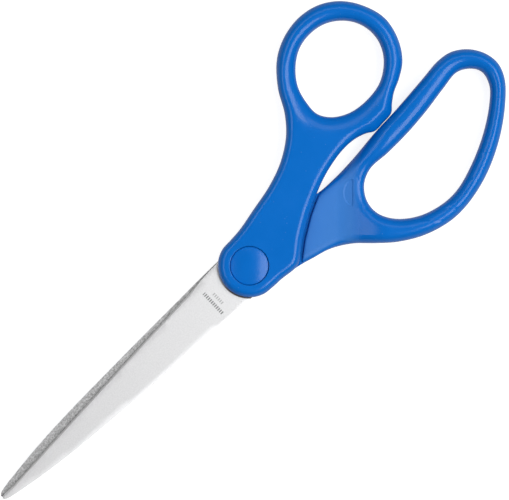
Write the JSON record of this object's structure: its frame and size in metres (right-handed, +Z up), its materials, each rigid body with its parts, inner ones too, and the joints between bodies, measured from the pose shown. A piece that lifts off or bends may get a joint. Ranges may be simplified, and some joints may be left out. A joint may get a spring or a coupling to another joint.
{
  "type": "office scissors",
  "caption": "Right-handed bent-handle office scissors: steel blades with tangs in moulded handles, a small thumb ring and a long finger loop, on a capped pivot.",
  "frame": {"origin": "on the pivot's axis, in the plane that the scissors lie on", "axes": "+X along the closed blades to their tips, +Y towards the long finger loop, +Z up, out of the thumb half"},
  "size_m": [0.2048, 0.0785, 0.01],
  "materials": {
    "handle_plastic": "moulded, smooth with a faint grain",
    "cap_plastic": "moulded, smooth, slightly domed",
    "blade_steel": "finely ground stainless steel, bright at the ground edge",
    "pivot_steel": "turned steel",
    "spring_steel": "dark spring steel",
    "washer_nylon": "natural nylon"
  },
  "bodies": {
    "finger_half": {"finger_handle": "handle_plastic", "finger_blade": "blade_steel", "finger_cap": "cap_plastic", "pivot_screw": "pivot_steel", "pivot_nut": "pivot_steel", "spring_washer": "spring_steel", "nut_washer": "pivot_steel", "blade_washer": "washer_nylon"},
    "thumb_half": {"thumb_handle": "handle_plastic", "thumb_blade": "blade_steel", "thumb_cap": "cap_plastic"}
  },
  "joints": [
    {"name": "blade_pivot", "type": "hinge", "parent": "finger_half", "child": "thumb_half", "pos_m": [0, 0, 0.005], "axis": [0, 0, 1], "range_deg": [0, 100]}
  ]
}
